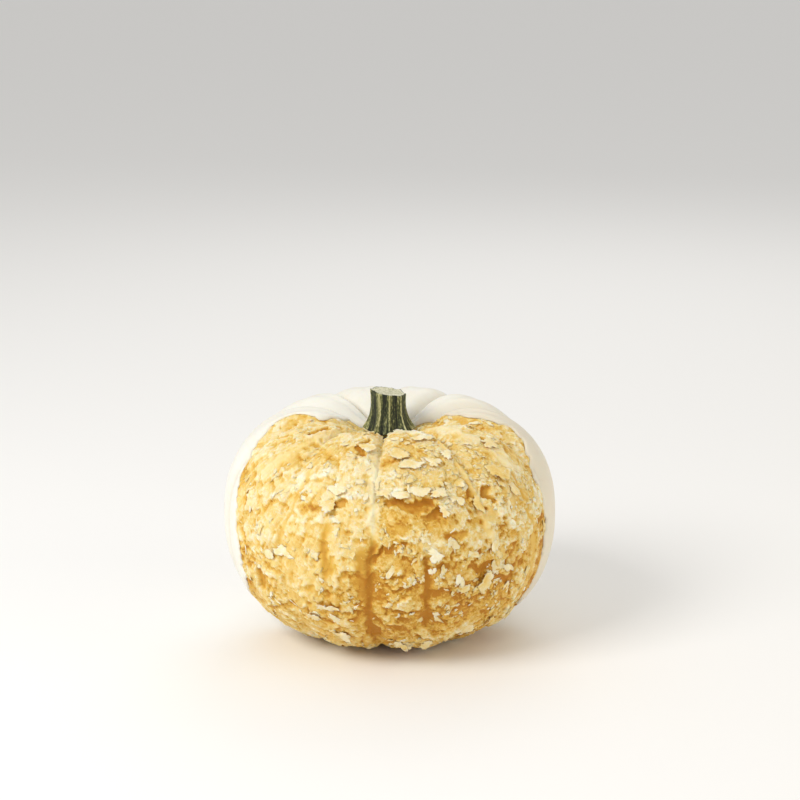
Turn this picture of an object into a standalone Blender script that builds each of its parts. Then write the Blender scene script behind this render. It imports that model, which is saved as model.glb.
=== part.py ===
"""Kabocha squash standing on its base, with the skin peeled off its front.

Two pieces: the fruit, one solid whose peeled face lies a little below the skin around it, and the cut
stem on its crown. Metres, +Z up. The origin is on the surface it stands on, under the middle of the
fruit, and the peeled face looks along -Y.
"""

import math

import bmesh
import bpy
from mathutils import Vector

# Driving dimensions of the fruit
HALF_WIDTH = 0.0762
WAIST_HEIGHT = 0.0555  # height of the widest level
RISE = 0.0525  # from the widest level up to the crown, before the crown's dip
DROP = 0.0600  # from the widest level down to the base, before the base's dip
SHOULDER_POWER = 0.72  # under 1 fills the shoulders out
TOP_POWER = 0.86
BASE_POWER = 0.90
CROWN_DIP = 0.0165  # how deep the crown sinks round the stem
CROWN_DIP_RADIUS = 0.026
BASE_DIP = 0.008  # how deep the blossom end sinks
BASE_DIP_RADIUS = 0.022
BACK_LIFT = 0.0018  # the rim of the crown stands this much higher at the back

# Lobes: the azimuth of each groove, in degrees from +Y towards +X
GROOVES = (1, 37, 73, 109, 146, 185, 220, 256, 291, 325)
GROOVE_POWER = 3.2  # higher makes rounder lobes with narrower grooves
MIDRIB_DEPTH = 0.08  # depth of the shallow dent along each lobe's middle, as a share of the groove's
MIDRIB_WIDTH = 0.12  # of a lobe's width
DEPTH_AT_WAIST = 0.0017
DEPTH_AT_CROWN = 0.0055
DEPTH_AT_BASE = 0.0030
GROOVE_START = 0.012  # grooves reach their full depth this far from the axis

# The peeled front
PEEL_DEPTH = 0.0012
PEEL_EDGE = 0.033  # the peel's edge lies this far in front of the axis at the base
PEEL_LEAN = 0.026  # and this much nearer to it at the crown
PEEL_LEAN_POWER = 4
CROWN_HEIGHT = 0.102
CROWN_PEEL_EDGE = 0.008  # inside the crown's rim the peel ends this far in front of the axis
CROWN_PEEL_HALF_WIDTH = 0.038
CROWN_PEEL_FRONT = 0.040
CROWN_PEEL_FLOOR = 0.085

# Stem
STEM_TOP = 0.1115
STEM_RADIUS = 0.0076
STEM_FLARE = 0.0036  # how far its toes spread past that
STEM_FLARE_POWER = 3.5
STEM_LEAN = -0.0006  # sideways, from foot to cut
STEM_CUT_SLOPE = -0.14  # the cut falls towards +X
STEM_RIDGES = 8
RIDGE_AT_CUT = 0.045  # height of a ridge, as a share of the radius
RIDGE_AT_FOOT = 0.10
FOOT_GAP = 0.0004
FOOT_LIP = 0.0012  # the height of the toes' edge

# Fineness of the meshes
COLUMNS_PER_LOBE = 10
ROWS = 40
STEM_COLUMNS_PER_RIDGE = 6
STEM_ROWS = 10
FOOT_RINGS = 4

MARGIN = 0.03  # how far a cutter runs past the fruit


def clamp01(value):
    return min(max(value, 0.0), 1.0)


def meridian(latitude):
    """Radius and height of the fruit's outline without lobes, from -90 degrees at the base to 90 at the crown."""
    side, up = abs(math.cos(latitude)), math.sin(latitude)
    radius = HALF_WIDTH * side**SHOULDER_POWER
    if up >= 0:
        dip = CROWN_DIP * math.exp(-((radius / CROWN_DIP_RADIUS) ** 2))
        return radius, WAIST_HEIGHT + RISE * up**TOP_POWER - dip
    dip = BASE_DIP * math.exp(-((radius / BASE_DIP_RADIUS) ** 2))
    return radius, WAIST_HEIGHT - DROP * (-up) ** BASE_POWER + dip


def outward(latitude):
    """The outline's outward normal, as its part away from the axis and its part up."""
    step = 1e-4
    below, above = meridian(latitude - step), meridian(latitude + step)
    along = Vector((above[0] - below[0], above[1] - below[1])).normalized()
    return along.y, -along.x


def groove_depth(latitude):
    up = math.sin(latitude)
    to_crown = (DEPTH_AT_CROWN - DEPTH_AT_WAIST) * max(up, 0) ** 2
    to_base = (DEPTH_AT_BASE - DEPTH_AT_WAIST) * max(-up, 0) ** 2
    return DEPTH_AT_WAIST + to_crown + to_base


def lobe_section(across):
    """How deep the surface lies between two grooves: 1 in a groove and 0 on the lobe's top. across runs from 0 to 1."""
    groove = abs(2 * across - 1) ** GROOVE_POWER
    midrib = MIDRIB_DEPTH * math.exp(-(((across - 0.5) / MIDRIB_WIDTH) ** 2))
    return max(groove, midrib)


def lift(azimuth, radius, height):
    """How much higher a point of the fruit lies because the crown's rim rises at the back."""
    share = max(math.cos(azimuth), 0) * clamp01(height / CROWN_HEIGHT) ** 2
    return BACK_LIFT * share * clamp01(radius / CROWN_DIP_RADIUS)


def fruit_point(latitude, azimuth, across, inset):
    """A point of the fruit's surface, or of the surface that lies inset below it."""
    radius, height = meridian(latitude)
    out, up = outward(latitude)
    depth = groove_depth(latitude) * lobe_section(across) * clamp01(radius / GROOVE_START) + inset
    radius, height = radius - depth * out, height - depth * up
    height += lift(azimuth, radius, height)
    return Vector((radius * math.sin(azimuth), radius * math.cos(azimuth), height))


def fruit_columns():
    """(azimuth, place across its lobe) of each column of the mesh, with one along every groove."""
    columns = []
    for start, end in zip(GROOVES, GROOVES[1:] + (GROOVES[0] + 360,)):
        for step in range(COLUMNS_PER_LOBE):
            across = step / COLUMNS_PER_LOBE
            columns.append((math.radians(start + (end - start) * across), across))
    return columns


def fruit_latitude(row):
    """Rows bunch towards the poles, so that the rings near the axis are evenly spaced."""
    place = 2 * row / ROWS - 1
    latitude = 1 - (1 - abs(place)) ** (1 / SHOULDER_POWER)
    return math.copysign(latitude * math.pi / 2, place)


def new_object(name, mesh, material):
    obj = bpy.data.objects.new(name, mesh)
    obj.data.materials.append(material)
    bpy.context.scene.collection.objects.link(obj)
    return obj


def closed_loft(name, rings, bottom, top, material):
    """A closed mesh through rings of points, from the bottom up, with a fan at each end."""
    shape = bmesh.new()
    loops = [[shape.verts.new(point) for point in ring] for ring in rings]
    count = len(loops[0])
    for lower, upper in zip(loops, loops[1:]):
        for i in range(count):
            j = (i + 1) % count
            shape.faces.new((lower[i], lower[j], upper[j], upper[i]))
    low, high = shape.verts.new(bottom), shape.verts.new(top)
    for i in range(count):
        j = (i + 1) % count
        shape.faces.new((low, loops[0][j], loops[0][i]))
        shape.faces.new((high, loops[-1][i], loops[-1][j]))
    bmesh.ops.recalc_face_normals(shape, faces=shape.faces)
    mesh = bpy.data.meshes.new(name)
    shape.to_mesh(mesh)
    shape.free()
    mesh.shade_smooth()
    return new_object(name, mesh, material)


def fruit_shell(name, inset, material):
    columns = fruit_columns()
    rings = [
        [fruit_point(fruit_latitude(row), azimuth, across, inset) for azimuth, across in columns]
        for row in range(1, ROWS)
    ]
    poles = [
        Vector((0, 0, meridian(math.copysign(math.pi / 2, side))[1] - math.copysign(inset, side)))
        for side in (-1, 1)
    ]
    return closed_loft(name, rings, poles[0], poles[1], material)


def box(name, low, high, material):
    shape = bmesh.new()
    bmesh.ops.create_cube(shape, size=1)
    size, middle = Vector(high) - Vector(low), (Vector(high) + Vector(low)) / 2
    bmesh.ops.scale(shape, vec=size, verts=shape.verts)
    bmesh.ops.translate(shape, vec=middle, verts=shape.verts)
    mesh = bpy.data.meshes.new(name)
    shape.to_mesh(mesh)
    shape.free()
    return new_object(name, mesh, material)


def peel_cutter(material):
    """A block in front of the fruit whose back face is the peel's edge, which leans over the crown."""
    heights = [-MARGIN] + [CROWN_HEIGHT * step / 12 for step in range(1, 13)] + [CROWN_HEIGHT + MARGIN]
    edge = [
        (PEEL_LEAN * clamp01(height / CROWN_HEIGHT) ** PEEL_LEAN_POWER - PEEL_EDGE, height)
        for height in heights
    ]
    reach = HALF_WIDTH + MARGIN
    outline = edge + [(-reach, heights[-1]), (-reach, heights[0])]
    shape = bmesh.new()
    face = shape.faces.new([shape.verts.new((-reach, y, z)) for y, z in outline])
    made = bmesh.ops.extrude_face_region(shape, geom=[face])["geom"]
    moved = [item for item in made if isinstance(item, bmesh.types.BMVert)]
    bmesh.ops.translate(shape, vec=(2 * reach, 0, 0), verts=moved)
    bmesh.ops.recalc_face_normals(shape, faces=shape.faces)
    mesh = bpy.data.meshes.new("peel_cutter")
    shape.to_mesh(mesh)
    shape.free()
    return new_object("peel_cutter", mesh, material)


def combine(obj, other, operation):
    other.hide_render = True
    other.display_type = "WIRE"
    modifier = obj.modifiers.new(other.name, "BOOLEAN")
    modifier.operation = operation
    modifier.solver = "EXACT"
    modifier.material_mode = "TRANSFER"
    modifier.object = other


def squash(rind, flesh):
    """The skin's solid less its peeled front, joined to the flesh below, and flat where it stands."""
    fruit = fruit_shell("squash", 0, rind)
    reach = HALF_WIDTH + MARGIN
    crown_peel = box(
        "crown_peel_cutter",
        (-CROWN_PEEL_HALF_WIDTH, -CROWN_PEEL_FRONT, CROWN_PEEL_FLOOR),
        (CROWN_PEEL_HALF_WIDTH, -CROWN_PEEL_EDGE, CROWN_HEIGHT + MARGIN),
        flesh,
    )
    ground = box("ground_cutter", (-reach, -reach, -MARGIN), (reach, reach, 0), rind)
    combine(fruit, peel_cutter(flesh), "DIFFERENCE")
    combine(fruit, crown_peel, "DIFFERENCE")
    combine(fruit, fruit_shell("flesh_core", PEEL_DEPTH, flesh), "UNION")
    combine(fruit, ground, "DIFFERENCE")
    return fruit


def crown_floor(x, y):
    """Height of the crown under the stem, along the tops of the lobes."""
    radius = math.hypot(x, y)
    latitude = math.acos((radius / HALF_WIDTH) ** (1 / SHOULDER_POWER))
    height = meridian(latitude)[1]
    return height + lift(math.atan2(x, y), radius, height)


def stem_point(share, column, count):
    """A point of the stem's side. share runs from 0 at the foot to 1 at the cut."""
    angle = 2 * math.pi * column / count
    radius = STEM_RADIUS + STEM_FLARE * (1 - share) ** STEM_FLARE_POWER
    ridge = RIDGE_AT_FOOT + (RIDGE_AT_CUT - RIDGE_AT_FOOT) * share
    radius *= 1 + ridge * math.cos(STEM_RIDGES * angle)
    x, y = radius * math.sin(angle), radius * math.cos(angle)
    foot = crown_floor(x, y) + FOOT_GAP + FOOT_LIP
    height = foot + (STEM_TOP + STEM_CUT_SLOPE * x - foot) * share
    return Vector((x + STEM_LEAN * share, y, height))


def stem(material):
    """A ridged stub that flares over the crown, cut off square but a little aslant."""
    count = STEM_RIDGES * STEM_COLUMNS_PER_RIDGE
    side = [
        [stem_point(row / STEM_ROWS, column, count) for column in range(count)]
        for row in range(STEM_ROWS + 1)
    ]
    underside = []
    for ring in range(1, FOOT_RINGS + 1):
        points = [point * (ring / FOOT_RINGS) for point in side[0]]
        underside.append([Vector((p.x, p.y, crown_floor(p.x, p.y) + FOOT_GAP)) for p in points])
    bottom = Vector((0, 0, crown_floor(0, 0) + FOOT_GAP))
    top = Vector((STEM_LEAN, 0, STEM_TOP))
    return closed_loft("stem", underside + side, bottom, top, material)


def principled(name, colour, roughness):
    material = bpy.data.materials.new(name)
    material.use_nodes = True
    shader = material.node_tree.nodes["Principled BSDF"]
    shader.inputs["Base Color"].default_value = (*colour, 1)
    shader.inputs["Roughness"].default_value = roughness
    shader.inputs["Metallic"].default_value = 0
    return material


def main():
    for obj in list(bpy.data.objects):
        bpy.data.objects.remove(obj)
    rind = principled("cream_rind", (0.90, 0.85, 0.74), 0.42)
    flesh = principled("peeled_flesh", (0.80, 0.55, 0.20), 0.75)
    green = principled("green_stem", (0.10, 0.12, 0.04), 0.70)
    squash(rind, flesh)
    stem(green)


main()
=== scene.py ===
"""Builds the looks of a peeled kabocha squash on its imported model, and the plain studio it stands in."""

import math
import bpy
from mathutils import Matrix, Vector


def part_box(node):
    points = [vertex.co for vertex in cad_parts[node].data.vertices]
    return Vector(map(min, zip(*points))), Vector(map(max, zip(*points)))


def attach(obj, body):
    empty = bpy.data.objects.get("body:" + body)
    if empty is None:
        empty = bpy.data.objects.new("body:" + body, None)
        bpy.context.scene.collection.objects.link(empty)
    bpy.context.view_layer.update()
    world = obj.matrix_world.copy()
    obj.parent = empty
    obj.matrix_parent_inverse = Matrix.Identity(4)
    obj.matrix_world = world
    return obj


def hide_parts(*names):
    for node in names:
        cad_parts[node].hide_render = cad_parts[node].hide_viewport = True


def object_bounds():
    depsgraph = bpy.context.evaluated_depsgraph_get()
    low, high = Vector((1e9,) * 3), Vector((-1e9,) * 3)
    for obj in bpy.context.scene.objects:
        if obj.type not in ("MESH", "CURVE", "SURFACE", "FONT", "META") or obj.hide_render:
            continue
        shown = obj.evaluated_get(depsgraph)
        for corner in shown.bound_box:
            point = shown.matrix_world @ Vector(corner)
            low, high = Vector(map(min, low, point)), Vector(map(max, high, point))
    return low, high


bl_info = {
    "name": "Peeled Kabocha Squash",
    "version": (1, 0, 0),
    "blender": (4, 5, 0),
    "location": "3D View > Sidebar > Squash",
    "description": "A white kabocha squash with its front peeled to the crumbly flesh",
    "category": "Add Mesh",
}

import bpy
import numpy as np
from bpy.props import FloatProperty, FloatVectorProperty, PointerProperty
from mathutils import Vector

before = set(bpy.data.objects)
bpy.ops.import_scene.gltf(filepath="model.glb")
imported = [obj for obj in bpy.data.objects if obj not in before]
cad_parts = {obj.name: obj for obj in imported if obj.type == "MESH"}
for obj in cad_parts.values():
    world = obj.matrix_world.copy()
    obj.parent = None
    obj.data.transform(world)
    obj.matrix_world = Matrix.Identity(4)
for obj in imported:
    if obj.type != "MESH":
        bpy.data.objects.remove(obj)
CAD_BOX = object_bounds()
FRUIT_LOW, FRUIT_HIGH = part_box("squash")
STEM_LOW, STEM_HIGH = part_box("stem")

MM = 0.001
LOBE_LOSS = 1.0014  # the outline's circle over half the fruit's width, which the grooves take a little from
HALF_WIDTH = LOBE_LOSS * (FRUIT_HIGH.x - FRUIT_LOW.x) / 2

# The fruit's outline, as shares of its half width
WAIST_HEIGHT = 0.7283
RISE = 0.6890
DROP = 0.7874
SHOULDER_POWER = 0.72
TOP_POWER = 0.86
BASE_POWER = 0.90
CROWN_DIP = 0.2165
CROWN_DIP_RADIUS = 0.3412
BASE_DIP = 0.1050
BASE_DIP_RADIUS = 0.2887
BACK_LIFT = 0.0236
CROWN_HEIGHT = 1.3386

# Its lobes: the azimuth of each groove in degrees, from +Y towards +X, and the grooves' depths
GROOVES = (1, 37, 73, 109, 146, 185, 220, 256, 291, 325)
GROOVE_POWER = 3.2
MIDRIB_DEPTH = 0.08
MIDRIB_WIDTH = 0.12
DEPTH_AT_WAIST = 0.0223
DEPTH_AT_CROWN = 0.0722
DEPTH_AT_BASE = 0.0394
GROOVE_START = 0.1575

# The peel's edge on each side: (latitude in degrees, degrees round from the middle of the front)
PEEL_LEFT = (
    (-80, 0), (-74, 50), (-66, 74), (-56, 82), (-48, 81), (-41, 77), (-34, 72), (-26, 66), (-18, 63),
    (-8, 63), (4, 66), (14, 67), (23, 71), (31, 77), (38, 78), (46, 82), (54, 88), (62, 89), (68, 86),
    (74, 80), (80, 88), (84, 112), (87, 125),
)
PEEL_RIGHT = (
    (-80, 0), (-74, 52), (-66, 76), (-58, 84), (-50, 83), (-43, 77), (-36, 70), (-28, 69), (-18, 70),
    (-8, 71), (4, 71), (14, 71), (23, 66), (33, 73), (42, 80), (50, 83), (60, 80), (70, 78), (76, 88),
    (80, 108), (84, 113), (87, 118),
)
PEEL_SMOOTHING = (-1.5, -0.75, 0, 0.75, 1.5)  # degrees up and down over which the edge's table is averaged
PEEL_RAGGED = ((6, 5, 1.3), (2.2, 6, 0.8), (0.9, 7, 0.35))  # sizes, seeds and strengths of its raggedness


# Noise and sampling


def scramble(cells, seed):
    """A number from 0 to 1 for each whole-numbered cell, the same each time for the same seed."""
    mixed = np.full(cells.shape[:-1], seed * 374761393 & 0xFFFFFFFF, np.uint32)
    for axis, prime in enumerate((73856093, 19349663, 83492791)):
        mixed = (mixed ^ (cells[..., axis].astype(np.int64) * prime & 0xFFFFFFFF).astype(np.uint32))
        mixed = (mixed ^ (mixed >> np.uint32(15))) * np.uint32(2246822519)
    mixed = (mixed ^ (mixed >> np.uint32(13))) * np.uint32(3266489917)
    mixed = mixed ^ (mixed >> np.uint32(16))
    return (mixed & np.uint32(0xFFFFFF)).astype(np.float64) / 0xFFFFFF


def noise(points, seed):
    """Smooth noise from -1 to 1 with features about one unit apart."""
    cell = np.floor(points)
    inside = points - cell
    ease = inside**3 * (inside * (inside * 6 - 15) + 10)
    total = np.zeros(points.shape[:-1])
    for corner in np.ndindex(2, 2, 2):
        corner = np.array(corner)
        weight = np.prod(np.where(corner == 1, ease, 1 - ease), axis=-1)
        total += weight * scramble(cell + corner, seed)
    return 2 * total - 1


def fractal(points, seed, octaves=4):
    """Noise with finer layers on top, each half as strong, from about -1 to 1."""
    total = np.zeros(points.shape[:-1])
    for octave in range(octaves):
        total += noise(points * 2**octave + 17.3 * octave, seed + octave) / 2**octave
    return total / 1.6


def fractal_vectors(points, seed, octaves=2):
    return np.stack([fractal(points + 31.7 * axis, seed + 11 * axis, octaves) for axis in range(3)], axis=-1)


def ramp(value, low, high):
    """0 below low and 1 above high, eased between."""
    share = np.clip((value - low) / (high - low), 0, 1)
    return share * share * (3 - 2 * share)


def bell(value, middle, width):
    """1 at the middle, falling smoothly to 0 a few widths away."""
    return np.exp(-(((value - middle) / width) ** 2))


def spread_evenly(gaps, length):
    """Places from 0 to length whose spacing at each place follows gaps(place)."""
    fine = np.linspace(0, length, 4000)
    steps = np.concatenate([[0], np.cumsum(np.diff(fine) / gaps((fine[1:] + fine[:-1]) / 2))])
    count = max(int(round(steps[-1])), 3)
    return np.interp(np.linspace(0, steps[-1], count + 1), steps, fine)


# The fruit's shape


def meridian(latitude):
    """Radius and height of the fruit's outline without lobes."""
    side, up = np.abs(np.cos(latitude)), np.sin(latitude)
    radius = HALF_WIDTH * side**SHOULDER_POWER
    over = HALF_WIDTH * (RISE * np.abs(up) ** TOP_POWER)
    under = HALF_WIDTH * (DROP * np.abs(up) ** BASE_POWER)
    crown_dip = HALF_WIDTH * CROWN_DIP * np.exp(-((radius / (HALF_WIDTH * CROWN_DIP_RADIUS)) ** 2))
    base_dip = HALF_WIDTH * BASE_DIP * np.exp(-((radius / (HALF_WIDTH * BASE_DIP_RADIUS)) ** 2))
    height = HALF_WIDTH * WAIST_HEIGHT + np.where(up >= 0, over - crown_dip, base_dip - under)
    return radius, height


def groove_share(azimuth):
    """How deep the surface lies at each azimuth: 1 in a groove and 0 on the lobe's top."""
    turn = (np.degrees(azimuth) - GROOVES[0]) % 360
    marks = np.array(GROOVES + (GROOVES[0] + 360,)) - GROOVES[0]
    lobe = np.clip(np.searchsorted(marks, turn, side="right") - 1, 0, len(GROOVES) - 1)
    across = (turn - marks[lobe]) / (marks[lobe + 1] - marks[lobe])
    groove = np.abs(2 * across - 1) ** GROOVE_POWER
    midrib = MIDRIB_DEPTH * np.exp(-(((across - 0.5) / MIDRIB_WIDTH) ** 2))
    return np.maximum(groove, midrib)


def fruit_points(latitude, azimuth, inset):
    """Points on the fruit's surface, or inset below it."""
    step = 1e-4
    below, above = meridian(latitude - step), meridian(latitude + step)
    along = np.hypot(above[0] - below[0], above[1] - below[1])
    out, up = (above[1] - below[1]) / along, -(above[0] - below[0]) / along
    radius, height = meridian(latitude)
    sine = np.sin(latitude)
    depth = DEPTH_AT_WAIST + (DEPTH_AT_CROWN - DEPTH_AT_WAIST) * np.maximum(sine, 0) ** 2
    depth = depth + (DEPTH_AT_BASE - DEPTH_AT_WAIST) * np.maximum(-sine, 0) ** 2
    start = np.clip(radius / (HALF_WIDTH * GROOVE_START), 0, 1)
    depth = HALF_WIDTH * depth * groove_share(azimuth) * start + inset
    radius, height = radius - depth * out, height - depth * up
    rear = np.maximum(np.cos(azimuth), 0) * np.clip(height / (HALF_WIDTH * CROWN_HEIGHT), 0, 1) ** 2
    height = height + HALF_WIDTH * BACK_LIFT * rear * np.clip(radius / (HALF_WIDTH * CROWN_DIP_RADIUS), 0, 1)
    return np.stack([radius * np.sin(azimuth), radius * np.cos(azimuth), height], axis=-1)


def latitudes_by_length():
    """A table of latitude against the length of the outline from the base's pole."""
    latitude = np.linspace(-math.pi / 2, math.pi / 2, 6000)
    radius, height = meridian(latitude)
    length = np.concatenate([[0], np.cumsum(np.hypot(np.diff(radius), np.diff(height)))])
    return latitude, length


def peel_edge(latitude, side):
    """Degrees from the middle of the front to the peel's edge, on the left (side -1) or right (1)."""
    table = np.array(PEEL_LEFT if side < 0 else PEEL_RIGHT, float)
    degrees = np.degrees(latitude)
    smooth = np.mean([np.interp(degrees + shift, *table.T) for shift in PEEL_SMOOTHING], axis=0)
    place = np.stack([degrees * 1.3, np.full_like(degrees, 7.0 * side), np.zeros_like(degrees)], axis=-1)
    ragged = sum(strength * noise(place / size, seed) for size, seed, strength in PEEL_RAGGED)
    return np.maximum(smooth + ragged * np.clip(smooth / 20, 0, 1), 0)


def front_angle(azimuth):
    """Degrees from the middle of the front, positive towards +X."""
    return (180 - np.degrees(azimuth) + 180) % 360 - 180


def inside_peel(latitude, azimuth):
    """Metres inside the peel's edge, negative under the skin."""
    angle = front_angle(azimuth)
    edge = np.where(angle < 0, peel_edge(latitude, -1), peel_edge(latitude, 1))
    radius = meridian(latitude)[0]
    return np.radians(edge - np.abs(angle)) * radius


def grid_normals(points):
    """Outward normals of a grid of points whose rows go up and whose columns go from +Y towards +X."""
    up = np.gradient(points, axis=0)
    round_ = np.gradient(points, axis=1)
    normal = np.cross(up, round_)
    normal /= np.maximum(np.linalg.norm(normal, axis=-1, keepdims=True), 1e-12)
    outward = points - np.array([0, 0, HALF_WIDTH * WAIST_HEIGHT])
    return normal * np.where((normal * outward).sum(-1, keepdims=True) < 0, -1, 1)


# Mesh making


def grid_faces(rows, columns, wrap, start=0):
    """Quads of a grid of points numbered row by row, facing out when columns go from +Y towards +X."""
    across = columns if wrap else columns - 1
    row, column = np.meshgrid(np.arange(rows - 1), np.arange(across), indexing="ij")
    following = (column + 1) % columns
    corners = (row * columns + column, (row + 1) * columns + column)
    corners += ((row + 1) * columns + following, row * columns + following)
    return np.stack(corners, axis=-1).reshape(-1, 4) + start


def new_piece(name, points, faces, material):
    """A mesh object that rides on the squash, from arrays of points and faces."""
    mesh = bpy.data.meshes.new(name)
    mesh.from_pydata(points.reshape(-1, 3).tolist(), [], [list(face) for face in faces])
    mesh.update()
    mesh.shade_smooth()
    mesh.materials.append(material)
    piece = bpy.data.objects.new(name, mesh)
    bpy.context.scene.collection.objects.link(piece)
    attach(piece, "root")
    return piece


def store(piece, name, values):
    """Keeps one number for each point of a piece, for its material to read."""
    attribute = piece.data.attributes.new(name, "FLOAT", "POINT")
    attribute.data.foreach_set("value", np.asarray(values, np.float32).ravel())


# Shader helpers

MIX_COLOURS = slice(6, 8)  # a mix node's two colour inputs
MIX_RESULT = 2  # and its colour output


def new_material(name):
    material = bpy.data.materials.new(name)
    material.use_nodes = True
    return material, material.node_tree, material.node_tree.nodes["Principled BSDF"]


def add_node(tree, kind, **settings):
    node = tree.nodes.new(kind)
    for key, value in settings.items():
        setattr(node, key, value)
    return node


def fill(node, **values):
    """Sets a node's inputs by name, with _ for a space."""
    for key, value in values.items():
        node.inputs[key.replace("_", " ")].default_value = value
    return node


def new_group(name, inputs, outputs):
    tree = bpy.data.node_groups.new(name, "ShaderNodeTree")
    for socket, kind, default in inputs:
        made = tree.interface.new_socket(socket, in_out="INPUT", socket_type=kind)
        if default is not None:
            made.default_value = default
    for socket, kind in outputs:
        tree.interface.new_socket(socket, in_out="OUTPUT", socket_type=kind)
    return tree, tree.nodes.new("NodeGroupInput"), tree.nodes.new("NodeGroupOutput")


def place_group(tree, group, **values):
    node = add_node(tree, "ShaderNodeGroup", node_tree=group)
    return fill(node, **values)


def colour_ramp(tree, stops):
    node = add_node(tree, "ShaderNodeValToRGB")
    elements = node.color_ramp.elements
    while len(elements) < len(stops):
        elements.new(0.5)
    for element, (place, colour) in zip(elements, stops):
        element.position = place
        element.color = (*colour, 1)
    return node


def math_node(tree, operation, first, second):
    node = add_node(tree, "ShaderNodeMath", operation=operation)
    for socket, value in zip(node.inputs, (first, second)):
        if isinstance(value, (int, float)):
            socket.default_value = value
        else:
            tree.links.new(value, socket)
    return node.outputs["Value"]


def mix_colour(tree, factor, first, second, blend="MIX"):
    node = add_node(tree, "ShaderNodeMix", data_type="RGBA", blend_type=blend)
    sockets = (node.inputs["Factor"], *node.inputs[MIX_COLOURS])
    for socket, value in zip(sockets, (factor, first, second)):
        if isinstance(value, (int, float)):
            socket.default_value = value
        elif isinstance(value, (tuple, list)) or hasattr(value, "r"):
            socket.default_value = (*tuple(value)[:3], 1)
        else:
            tree.links.new(value, socket)
    return node.outputs[MIX_RESULT]


def attribute_value(tree, name):
    return add_node(tree, "ShaderNodeAttribute", attribute_name=name).outputs["Fac"]


def grain_group():
    """Fine grain: a tone from 0 to 1 and a height, from two sizes of grain in the object's own space."""
    group = bpy.data.node_groups.get("fine grain")
    if group:
        return group
    inputs = (("Size", "NodeSocketFloat", 1.0), ("Contrast", "NodeSocketFloat", 1.0))
    outputs = (("Tone", "NodeSocketFloat"), ("Height", "NodeSocketFloat"))
    tree, given, result = new_group("fine grain", inputs, outputs)
    place = add_node(tree, "ShaderNodeTexCoord").outputs["Object"]
    scale = math_node(tree, "DIVIDE", 1 / MM, given.outputs["Size"])
    coarse = fill(add_node(tree, "ShaderNodeTexNoise"), Detail=3.0, Roughness=0.6)
    tree.links.new(place, coarse.inputs["Vector"])
    tree.links.new(math_node(tree, "MULTIPLY", scale, 0.45), coarse.inputs["Scale"])
    fine = add_node(tree, "ShaderNodeTexVoronoi", feature="F1")
    tree.links.new(place, fine.inputs["Vector"])
    tree.links.new(scale, fine.inputs["Scale"])
    both = math_node(tree, "MULTIPLY", fine.outputs["Distance"], 0.6)
    height = math_node(tree, "SUBTRACT", coarse.outputs["Fac"], both)
    centred = math_node(tree, "SUBTRACT", height, 0.22)
    contrasted = math_node(tree, "MULTIPLY", centred, given.outputs["Contrast"])
    tone = math_node(tree, "ADD", contrasted, 0.5)
    tree.links.new(tone, result.inputs["Tone"])
    tree.links.new(height, result.inputs["Height"])
    return tree


def crumbs_group():
    """Ragged crumbs: 1 on a crumb and 0 between, and a height.

    Size is in millimetres, Cover is the crumbs' share.
    """
    group = bpy.data.node_groups.get("ragged crumbs")
    if group:
        return group
    inputs = (("Size", "NodeSocketFloat", 2.0), ("Cover", "NodeSocketFloat", 0.5))
    outputs = (("Crumb", "NodeSocketFloat"), ("Height", "NodeSocketFloat"))
    tree, given, result = new_group("ragged crumbs", inputs, outputs)
    place = add_node(tree, "ShaderNodeTexCoord").outputs["Object"]
    scale = math_node(tree, "DIVIDE", 1 / MM, given.outputs["Size"])
    texture = fill(add_node(tree, "ShaderNodeTexNoise"), Detail=4.0, Roughness=0.62, Distortion=0.9)
    tree.links.new(place, texture.inputs["Vector"])
    tree.links.new(scale, texture.inputs["Scale"])
    edge = math_node(tree, "SUBTRACT", 0.66, math_node(tree, "MULTIPLY", given.outputs["Cover"], 0.3))
    over = math_node(tree, "SUBTRACT", texture.outputs["Fac"], edge)
    crumb = add_node(tree, "ShaderNodeMapRange", interpolation_type="SMOOTHSTEP")
    fill(crumb, From_Min=0.0, From_Max=0.05)
    tree.links.new(over, crumb.inputs["Value"])
    mound = math_node(tree, "MULTIPLY", texture.outputs["Fac"], 1.5)
    height = math_node(tree, "ADD", crumb.outputs["Result"], mound)
    tree.links.new(crumb.outputs["Result"], result.inputs["Crumb"])
    tree.links.new(height, result.inputs["Height"])
    return tree


def add_bump(tree, shader, height, distance, strength=1.0):
    bump = fill(add_node(tree, "ShaderNodeBump"), Strength=strength, Distance=distance)
    tree.links.new(height, bump.inputs["Height"])
    tree.links.new(bump.outputs["Normal"], shader.inputs["Normal"])


# Settings


def length_setting(name, description, metres):
    return FloatProperty(name=name, description=description, default=metres, unit="LENGTH")


def colour_setting(name, description, colour):
    return FloatVectorProperty(name=name, description=description, default=colour, subtype="COLOR", size=3)


class FleshSettings(bpy.types.PropertyGroup):
    spacing: length_setting("Spacing", "Distance between the flesh's points", 0.52 * MM)
    recess: length_setting("Recess", "How far the flesh lies below the skin's surface", 1.5 * MM)
    edge_recess: length_setting("Edge Recess", "The same along the skin's torn edge", 0.75 * MM)
    edge_reach: length_setting("Edge Reach", "How far from the torn edge the flesh rises", 6 * MM)
    proudest: length_setting("Proudest", "Nearest that the flesh comes to the skin's level", 0.35 * MM)
    # Deep is the flesh's own deepest orange; where the hollows, sunken strands and gaps under the patches
    # take it, it is partly painted shade
    deep: colour_setting("Deep", "Colour in the hollows", (0.50, 0.20, 0.006))
    golden: colour_setting("Golden", "Colour of the lower flesh", (0.73, 0.43, 0.060))
    middle: colour_setting("Middle", "Colour of most of the flesh", (0.84, 0.63, 0.23))
    pale: colour_setting("Pale", "Colour of the flakes' faces", (0.90, 0.79, 0.50))
    cream: colour_setting("Cream", "Colour of the flakes' lips", (0.95, 0.91, 0.73))


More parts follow.
